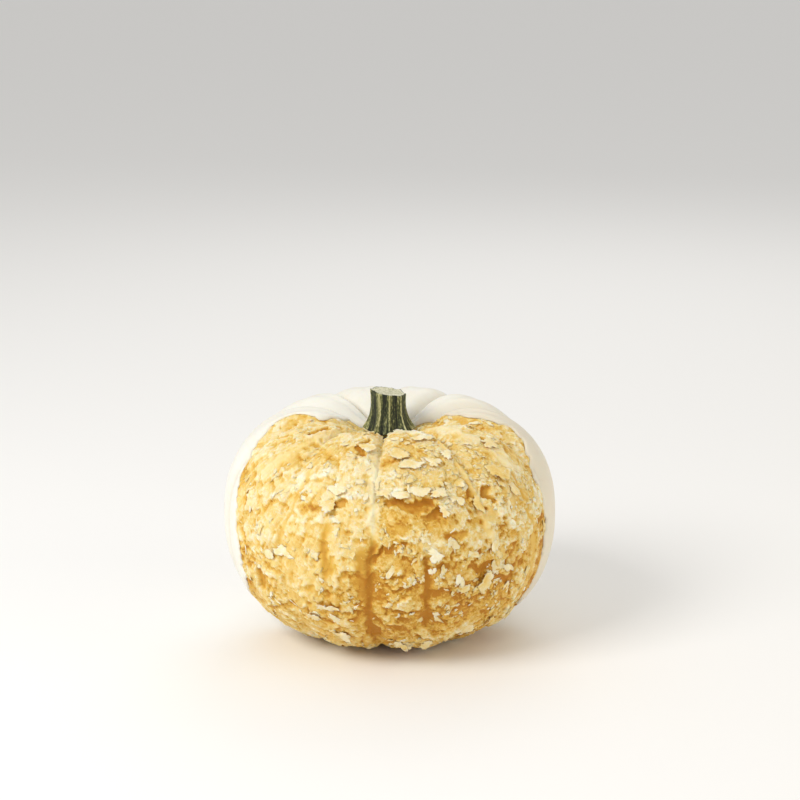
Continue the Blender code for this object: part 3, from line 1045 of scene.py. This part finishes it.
def large_flakes(generator, material):
    """The flakes that stand out one by one, each at its own place."""
    degrees, latitude, size, stretch, turn, tone = np.array(LARGE_FLAKES, float).T
    count = len(size)
    points = fruit_points(np.radians(latitude), np.radians(180 - degrees), LARGE_DEPTH)
    each = {"size": size * MM, "stretch": stretch, "turn": turn, "tone": tone - LARGE_DEEPER}
    each["fall"] = np.zeros(count)
    each.update({name: generator.uniform(*LARGE_LOOK[name], count) for name in ("bend", "tilt", "curl")})
    each["tilt"] = each["tilt"] + LOW_FLAKES_HANG * ramp(-latitude, *LOW_FLAKES_START)
    places = (points, broad_directions(points))
    flake_piece("large_flakes", places, each, LARGE_LOOK, LARGE_RIM, LARGE_LOOPS, generator, material)


class SQUASH_OT_flakes(bpy.types.Operator):
    """Scatters flakes, chips and shreds of flesh over the peeled front"""

    bl_idname = "squash.flakes"
    bl_label = "Flakes"

    def execute(self, context):
        generator = np.random.default_rng(FLAKE_SEED)
        sides = [bpy.data.objects[name] for name in FLESH_SIDES]
        material = flesh_material("flesh flakes", context.scene.squash_flesh, 0.15, 0.5 * MM)
        large_flakes(generator, material)
        for name, (count, size, crowding, rim, rings, look) in FLAKE_KINDS.items():
            places = pick_places(sides, count, crowding, generator)
            each = draw_flakes(count, size, look, places[2], generator)
            flake_piece(name, places, each, look, rim, rings, generator, material)
        return {"FINISHED"}


# The stem

STEM_RIDGES = 8
STEM_ROWS = 90
STEM_COLUMNS = 320
STEM_CUT_SLOPE = -0.14
STEM_LEAN = -0.6 * MM
STEM_RIDGE_HEIGHT = 0.9
STEM_CLEARANCE = 0.05 * MM  # to the widest that the stem may be
STEM_ROOTED = 0.3 * MM  # how far its foot goes into the crown
STEM_TOP_MARGIN = 1.3 * MM  # room under the stem's full height for the slanting cut
CUT_LOOPS = (0.985, 0.95, 0.88, 0.78, 0.66, 0.52, 0.38, 0.24, 0.1)  # shares of the cut face's radius
CUT_DISH = ((0.1, 0.7, 0.9, 1.0), (-0.5, -0.35, 0.05, 0.0))  # at shares of the radius, in millimetres
POLAR_CAP = 1.2  # the latitude past which the crown and the base begin, in radians


def stem_ridges(turn, share):
    """Height of the stem's ridges from 0 in a furrow to 1, at each angle and share of its height."""
    swayed = turn + 0.10 * np.sin(2 * turn + 0.7) + 0.06 * np.sin(3 * turn + 2.0) + 0.08 * share
    return 1 - np.abs(np.sin(swayed * STEM_RIDGES / 2)) ** 0.9


def stem_radius(settings, share, turn, ridge):
    """The stem's radius: flared at the foot, ridged, and a little uneven."""
    widest = (STEM_HIGH.x - STEM_LOW.x) / 2
    flare = (1 - share) ** 3.2
    radius = settings.radius * (0.93 + 0.05 * share**3)
    radius = radius + (widest - settings.radius * 1.08) * flare * (0.55 + 0.45 * ridge)
    broad = np.stack(np.broadcast_arrays(np.sin(turn) * 3, np.cos(turn) * 3, share * 0.8), axis=-1)
    radius = radius + ridge * MM * (STEM_RIDGE_HEIGHT + 0.5 * flare) + 0.25 * MM * noise(broad, 601)
    fine = np.stack(np.broadcast_arrays(np.sin(turn) * 26, np.cos(turn) * 26, share * 3.0), axis=-1)
    radius = radius + 0.16 * MM * fractal(fine, 603, 2)
    rim_wave = 0.25 * MM * noise(broad * 1.4, 605)[-1]
    return np.minimum(radius, widest - STEM_CLEARANCE), rim_wave


def stem_side(settings, share, turn, ridge):
    """Points of the stem's side, from its foot in the crown to the slanting rim of its cut."""
    radius, rim_wave = stem_radius(settings, share, turn, ridge)
    x, y = radius * np.sin(turn), radius * np.cos(turn)
    latitude, _ = latitudes_by_length()
    rings, floors = meridian(latitude[latitude > POLAR_CAP])
    foot = np.interp(np.hypot(x[0], y[0]), rings[::-1], floors[::-1]) - STEM_ROOTED
    top = STEM_HIGH.z - STEM_TOP_MARGIN
    height = foot + (top + STEM_CUT_SLOPE * x + rim_wave * share - foot) * share
    return np.stack([x + STEM_LEAN * share, y, height], axis=-1)


def stem_cut(side, shares):
    """Points of the rough, slightly dished cut face, in loops from the side's rim inwards."""
    face = side[-1] * shares[..., None] + side[-1].mean(0) * (1 - shares[..., None])
    rough = fractal(face / (1.3 * MM), 607, 3)
    dish = np.interp(shares, *CUT_DISH)
    face[..., 2] += MM * (dish + 0.18 * rough) * np.minimum((1 - shares) * 20, 1)
    return face


class SQUASH_OT_stem(bpy.types.Operator):
    """Builds the stem: ridged, striped, flared at its foot and cut aslant"""

    bl_idname = "squash.stem"
    bl_label = "Stem"

    def execute(self, context):
        settings = context.scene.squash_stem
        share = np.linspace(0, 1, STEM_ROWS)[:, None]
        turn = np.linspace(0, 2 * math.pi, STEM_COLUMNS, endpoint=False)[None, :]
        ridge = stem_ridges(turn, share)
        side = stem_side(settings, share, turn, ridge)
        shares = np.array(CUT_LOOPS)[:, None]
        face = stem_cut(side, shares)
        grid = np.concatenate([side, face])
        faces = grid_faces(len(grid), STEM_COLUMNS, wrap=True).tolist()
        foot_middle = np.array([0, 0, side[0, :, 2].mean()])
        low, last = len(grid) * STEM_COLUMNS, (len(grid) - 1) * STEM_COLUMNS
        for column in range(STEM_COLUMNS):
            after = (column + 1) % STEM_COLUMNS
            faces.append((low, column, after))
            faces.append((low + 1, last + after, last + column))
        points = np.concatenate([grid.reshape(-1, 3), [foot_middle, face[-1].mean(0)]])
        stem = new_piece("stem_stub", points, faces, stem_material(settings))
        on_side, on_face = side[..., 0].shape, face[..., 0].shape
        cut = np.concatenate([np.zeros(on_side), np.broadcast_to(1 - shares, on_face) + 0.5])
        store(stem, "cut", np.concatenate([cut.ravel(), [0, 1.5]]))
        ridges = np.concatenate([np.broadcast_to(ridge, on_side), np.zeros(on_face)])
        store(stem, "ridge", np.concatenate([ridges.ravel(), [0, 0]]))
        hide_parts("stem")
        return {"FINISHED"}


def stem_material(settings):
    """Dark green with straw stripes up the ridges, and a pale grained cut face."""
    material, tree, shader = new_material("green stem")
    place = add_node(tree, "ShaderNodeTexCoord").outputs["Object"]
    parts = add_node(tree, "ShaderNodeSeparateXYZ")
    tree.links.new(place, parts.inputs["Vector"])
    flat = add_node(tree, "ShaderNodeCombineXYZ")
    tree.links.new(parts.outputs["X"], flat.inputs["X"])
    tree.links.new(parts.outputs["Y"], flat.inputs["Y"])
    around = add_node(tree, "ShaderNodeVectorMath", operation="NORMALIZE")
    tree.links.new(flat.outputs["Vector"], around.inputs[0])
    spread = add_node(tree, "ShaderNodeSeparateXYZ")
    tree.links.new(around.outputs["Vector"], spread.inputs["Vector"])

    def striped(scale, lengthwise, detail):
        vector = add_node(tree, "ShaderNodeCombineXYZ")
        tree.links.new(math_node(tree, "MULTIPLY", spread.outputs["X"], scale), vector.inputs["X"])
        tree.links.new(math_node(tree, "MULTIPLY", spread.outputs["Y"], scale), vector.inputs["Y"])
        tree.links.new(math_node(tree, "MULTIPLY", parts.outputs["Z"], lengthwise), vector.inputs["Z"])
        texture = fill(add_node(tree, "ShaderNodeTexNoise"), Scale=1.0, Detail=detail, Roughness=0.6)
        tree.links.new(vector.outputs["Vector"], texture.inputs["Vector"])
        return texture.outputs["Fac"]

    ridge = attribute_value(tree, "ridge")
    stripes = striped(7.0, 40.0, 2.0)
    flecks = striped(24.0, 700.0, 3.0)
    pale = math_node(tree, "ADD", math_node(tree, "MULTIPLY", ridge, 0.30), stripes)
    fleck = math_node(tree, "MULTIPLY", math_node(tree, "SUBTRACT", flecks, 0.5), 0.9)
    pale = math_node(tree, "ADD", pale, fleck)
    stops = (settings.dark, settings.green, settings.light, settings.straw)
    skin = colour_ramp(tree, list(zip((0.45, 0.62, 0.74, 0.88), stops)))
    tree.links.new(pale, skin.inputs["Fac"])
    grain = place_group(tree, grain_group(), Size=0.5, Contrast=0.8)
    flesh_tone = colour_ramp(tree, ((0.2, settings.light), (0.5, settings.cut), (0.9, settings.cut_pale)))
    tree.links.new(grain.outputs["Tone"], flesh_tone.inputs["Fac"])
    cut = math_node(tree, "GREATER_THAN", attribute_value(tree, "cut"), 0.55)
    base = mix_colour(tree, cut, skin.outputs["Color"], flesh_tone.outputs["Color"])
    tree.links.new(base, shader.inputs["Base Color"])
    fill(shader, Roughness=0.6)
    add_bump(tree, shader, flecks, 0.3 * MM, 0.6)
    return material


# The skin

RIND_TOP = math.radians(87)  # the latitude of its upper edge, round the stem
RIND_ROW_SHARE = 0.75  # spacing of its rows over the spacing of its points at the waist
RIND_EDGE_ROUNDING = 1.6 * MM
RIND_EDGE_LEFT = 0.35 * MM  # how thick the torn edge stays
RIND_INSET = 0.2 * MM  # how far its outside lies inside the fruit's surface
RIND_SWELL = 0.18 * MM
RIND_SWELL_SIZE = 14 * MM
CLOSED_DEGREES = 1.0  # the peel is closed where its edges are nearer than this
SCAR_RINGS = 24
SCAR_COLUMNS = 72
SCAR_DEPTH = 1.5 * MM


class SQUASH_OT_rind(bpy.types.Operator):
    """Builds the skin, a thin shell with a torn edge round the peeled front"""

    bl_idname = "squash.rind"
    bl_label = "Skin"

    def execute(self, context):
        settings = context.scene.squash_rind
        latitude, length = latitudes_by_length()
        last = np.interp(RIND_TOP, latitude, length)
        steps = np.linspace(0, last, int(last / (RIND_ROW_SHARE * settings.spacing)))[1:]
        rows = np.interp(steps, length, latitude)
        count = int(2 * math.pi * HALF_WIDTH * 0.65 / settings.spacing)
        share = np.linspace(-1, 1, count)
        share = np.sign(share) * (1 - (1 - np.abs(share)) ** 1.6 * 0.6 - 0.4 * (1 - np.abs(share)))
        left, right = peel_edge(rows, -1), peel_edge(rows, 1)
        start = np.radians(180 + left)
        end = np.radians(540 - right)
        azimuth = start[:, None] + (end - start)[:, None] * (share[None, :] + 1) / 2
        latitude = np.broadcast_to(rows[:, None], azimuth.shape)
        radius = meridian(rows)[0][:, None]
        to_edge = np.minimum(azimuth - start[:, None], end[:, None] - azimuth) * radius
        rounded = np.sqrt(1 - (1 - np.clip(to_edge / RIND_EDGE_ROUNDING, 0, 1)) ** 2)
        drop = (settings.thickness - RIND_EDGE_LEFT) * (1 - rounded)
        closed_below = (left + right)[:, None] < CLOSED_DEGREES
        drop = np.where(closed_below, 0, drop)
        swell = RIND_SWELL * fractal(fruit_points(latitude, azimuth, 0) / RIND_SWELL_SIZE, 400, 3)
        outer = fruit_points(latitude, azimuth, drop + RIND_INSET - swell)
        inner = fruit_points(latitude, azimuth, settings.thickness)
        outer[..., 2] = np.maximum(outer[..., 2], 0.0)
        inner[..., 2] = np.maximum(inner[..., 2], 0.1 * MM)
        total_rows, columns = azimuth.shape
        size = total_rows * columns
        faces = grid_faces(total_rows, columns, wrap=False).tolist()
        faces += grid_faces(total_rows, columns, wrap=False, start=size)[:, ::-1].tolist()
        for row in range(total_rows - 1):
            for column, turned in ((0, False), (columns - 1, True)):
                low, high = row * columns + column, (row + 1) * columns + column
                quad = (low, low + size, high + size, high)
                faces.append(quad[::-1] if turned else quad)
        for row, turned in ((0, False), (total_rows - 1, True)):
            for column in range(columns - 1):
                here = row * columns + column
                quad = (here, here + 1, here + 1 + size, here + size)
                faces.append(quad[::-1] if turned else quad)
        points = np.concatenate([outer.reshape(-1, 3), inner.reshape(-1, 3)])
        rind = new_piece("rind", points, faces, rind_material(settings))
        store(rind, "groove", np.tile(groove_share(azimuth).ravel(), 2))
        # The tan share is painted shade on the right side, away from the key lamp
        tan = ramp(np.sin(azimuth), 0.1, 0.8) * ramp(-np.cos(azimuth), -0.9, 0.1)
        store(rind, "tan", np.tile(tan.ravel(), 2))
        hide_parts("squash")
        return {"FINISHED"}


class SQUASH_OT_scar(bpy.types.Operator):
    """Builds the corky blossom scar in the middle of the sunken base"""

    bl_idname = "squash.scar"
    bl_label = "Blossom Scar"

    def execute(self, context):
        settings = context.scene.squash_rind
        share = np.linspace(1, 0.04, SCAR_RINGS)[:, None]
        turn = np.linspace(0, 2 * math.pi, SCAR_COLUMNS, endpoint=False)[None, :]
        round_ = np.stack(np.broadcast_arrays(np.sin(turn), np.cos(turn), share), axis=-1)
        radius = settings.scar_radius * share * (1 + 0.10 * noise(round_ * 2.2, 801))
        latitude, _ = latitudes_by_length()
        rings, floors = meridian(latitude[latitude < -POLAR_CAP])
        floor = np.interp(radius, rings, floors)
        ring = bell(share, 0.72, 0.14) + 0.8 * bell(share, 0, 0.22) - 0.4 * share**8
        x, y = radius * np.sin(turn), radius * np.cos(turn)
        rough = 0.12 * fractal(np.stack([x, y, 0 * radius], axis=-1) / MM, 803, 3)
        height = floor - MM * (0.1 + 0.55 * ring + rough)
        outer = np.stack([x, y, height], axis=-1)
        inner = outer[::-1].copy()
        inner[..., 2] = floor[::-1] + SCAR_DEPTH
        grid = np.concatenate([inner, outer])
        poles = grid[[0, -1]].mean(1)
        size = len(grid) * SCAR_COLUMNS
        faces = grid_faces(len(grid), SCAR_COLUMNS, wrap=True)[:, ::-1].tolist()
        for column in range(SCAR_COLUMNS):
            after = (column + 1) % SCAR_COLUMNS
            faces.append((size, column, after)[::-1])
            faces.append((size + 1, size - SCAR_COLUMNS + after, size - SCAR_COLUMNS + column)[::-1])
        points = np.concatenate([grid.reshape(-1, 3), poles])
        material, tree, shader = new_material("corky scar")
        grain = place_group(tree, grain_group(), Size=0.6, Contrast=0.9)
        base = mix_colour(tree, grain.outputs["Tone"], settings.cork, settings.painted_shade_and_scar_grain)
        tree.links.new(base, shader.inputs["Base Color"])
        fill(shader, Roughness=0.8)
        add_bump(tree, shader, grain.outputs["Height"], 0.2 * MM, 0.8)
        scar = new_piece("blossom_scar", points, faces, material)
        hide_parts("squash")
        return {"FINISHED"}


def rind_material(settings):
    """Cream skin with clouds, streaks and specks, and painted shade: tan along the grooves and on the right
    side, fading towards the back, away from the key lamp.
    """
    material, tree, shader = new_material("cream skin")
    groove = attribute_value(tree, "groove")
    grain = place_group(tree, grain_group(), Size=2.5, Contrast=0.35)
    place = add_node(tree, "ShaderNodeTexCoord").outputs["Object"]
    squeezed = add_node(tree, "ShaderNodeVectorMath", operation="MULTIPLY")
    squeezed.inputs[1].default_value = (1, 1, 0.12)
    tree.links.new(place, squeezed.inputs[0])
    streak = fill(add_node(tree, "ShaderNodeTexNoise"), Scale=0.35 / MM, Detail=3.0, Roughness=0.6)
    tree.links.new(squeezed.outputs["Vector"], streak.inputs["Vector"])
    cloud = fill(add_node(tree, "ShaderNodeTexNoise"), Scale=0.045 / MM, Detail=3.0, Roughness=0.55)
    tree.links.new(place, cloud.inputs["Vector"])
    marks = math_node(tree, "MULTIPLY", math_node(tree, "SUBTRACT", streak.outputs["Fac"], 0.42), 0.55)
    clouds = math_node(tree, "MULTIPLY", math_node(tree, "SUBTRACT", cloud.outputs["Fac"], 0.45), 0.9)
    specks = fill(add_node(tree, "ShaderNodeTexVoronoi", feature="F1"), Scale=0.22 / MM)
    tree.links.new(place, specks.inputs["Vector"])
    speck = math_node(tree, "MULTIPLY", math_node(tree, "LESS_THAN", specks.outputs["Distance"], 0.07), 0.4)
    # Painted shade along the grooves
    amount = math_node(tree, "MULTIPLY", math_node(tree, "POWER", groove, 3.0), 0.6)
    marks = math_node(tree, "ADD", marks, math_node(tree, "ADD", clouds, speck))
    amount = math_node(tree, "ADD", amount, marks)
    # Painted shade on the right side, away from the key lamp
    tan = math_node(tree, "MULTIPLY", attribute_value(tree, "tan"), 0.95)
    amount = math_node(tree, "MAXIMUM", amount, tan)
    base = mix_colour(tree, amount, settings.colour, settings.painted_shade_and_scar_grain)
    tree.links.new(base, shader.inputs["Base Color"])
    fill(shader, Roughness=0.42, Subsurface_Weight=0.2, Subsurface_Scale=0.004, IOR=1.4)
    shader.inputs["Subsurface Radius"].default_value = (1.0, 0.6, 0.35)
    add_bump(tree, shader, grain.outputs["Height"], 0.08 * MM, 0.5)
    return material


# The stage

FLOOR_REACH = 30.0
STUDIO_COLOUR = (1.0, 0.99, 0.97)
STUDIO_STRENGTH = 0.62
# name: (place, size, power, colour)
LIGHTS = {
    "key": ((-0.80, -0.60, 0.85), 0.6, 9.3, (1.0, 0.99, 0.97)),
    "fill": ((0.9, -0.3, 0.35), 0.5, 1.8, (1.0, 0.90, 0.72)),
    "rim": ((0.2, 0.9, 0.8), 0.6, 1.5, (1.0, 0.99, 0.97)),
}
LOOKED_AT = (0, 0, 0.05)
LOOK_RIGHT, LOOK_UP = -0.0051, -0.0585  # how far the camera turns away from there, per unit of distance


class SQUASH_OT_stage(bpy.types.Operator):
    """Sets the floor, the soft lights and the camera"""

    bl_idname = "squash.stage"
    bl_label = "Stage"

    def execute(self, context):
        settings = context.scene.squash_stage
        scene = context.scene
        mesh = bpy.data.meshes.new("floor")
        corners = [(FLOOR_REACH * x, FLOOR_REACH * y, 0) for x, y in ((-1, -1), (1, -1), (1, 1), (-1, 1))]
        mesh.from_pydata(corners, [], [(0, 1, 2, 3)])
        floor = bpy.data.objects.new("floor", mesh)
        scene.collection.objects.link(floor)
        material, _, shader = new_material("pale floor")
        shader.inputs["Base Color"].default_value = (*settings.floor, 1)
        fill(shader, Roughness=0.9)
        mesh.materials.append(material)
        world = bpy.data.worlds.new("studio")
        world.use_nodes = True
        fill(world.node_tree.nodes["Background"], Color=(*STUDIO_COLOUR, 1), Strength=STUDIO_STRENGTH)
        scene.world = world
        middle = Vector((0, 0, HALF_WIDTH * WAIST_HEIGHT))
        for name, (place, size, power, colour) in LIGHTS.items():
            light = bpy.data.lights.new(name, "AREA")
            light.color = colour
            light.size = size
            light.energy = power
            lamp = bpy.data.objects.new(name, light)
            lamp.location = place
            lamp.rotation_euler = (Vector(place) - middle).to_track_quat("Z", "Y").to_euler()
            scene.collection.objects.link(lamp)
        camera = bpy.data.cameras.new("camera")
        camera.lens = settings.lens
        camera.sensor_width = 36
        camera.clip_start = 0.01
        eye = bpy.data.objects.new("camera", camera)
        back = Vector((0, -math.cos(settings.elevation), math.sin(settings.elevation)))
        eye.location = Vector(LOOKED_AT) + back * settings.distance
        side = Vector((1, 0, 0))
        up = Vector((0, math.sin(settings.elevation), math.cos(settings.elevation)))
        forward = -back - side * LOOK_RIGHT - up * LOOK_UP
        eye.rotation_euler = (-forward).to_track_quat("Z", "Y").to_euler()
        scene.collection.objects.link(eye)
        scene.camera = eye
        scene.view_settings.view_transform = "Standard"
        return {"FINISHED"}


class SQUASH_PT_panel(bpy.types.Panel):
    """Lists the squash's pieces and their settings"""

    bl_label = "Squash"
    bl_idname = "SQUASH_PT_panel"
    bl_space_type = "VIEW_3D"
    bl_region_type = "UI"
    bl_category = "Squash"

    def draw(self, context):
        for settings_name in SETTINGS:
            box = self.layout.box()
            settings = getattr(context.scene, settings_name)
            for key in settings.bl_rna.properties.keys():
                if key not in ("rna_type", "name"):
                    box.prop(settings, key)
        for operator in OPERATORS:
            self.layout.operator(operator.bl_idname)


SETTINGS = {
    "squash_flesh": FleshSettings,
    "squash_rind": RindSettings,
    "squash_stem": StemSettings,
    "squash_stage": StageSettings,
}
OPERATORS = (
    SQUASH_OT_stage, SQUASH_OT_flesh, SQUASH_OT_flakes, SQUASH_OT_rind, SQUASH_OT_scar, SQUASH_OT_stem,
)


def register():
    for cls in (*SETTINGS.values(), *OPERATORS, SQUASH_PT_panel):
        bpy.utils.register_class(cls)
    for name, cls in SETTINGS.items():
        setattr(bpy.types.Scene, name, PointerProperty(type=cls))


def unregister():
    for name in SETTINGS:
        delattr(bpy.types.Scene, name)
    for cls in (SQUASH_PT_panel, *reversed(OPERATORS), *SETTINGS.values()):
        bpy.utils.unregister_class(cls)


def main():
    register()
    bpy.ops.squash.stage()
    bpy.ops.squash.flesh()
    bpy.ops.squash.flakes()
    bpy.ops.squash.rind()
    bpy.ops.squash.scar()
    bpy.ops.squash.stem()


if __name__ == "__main__":
    main()
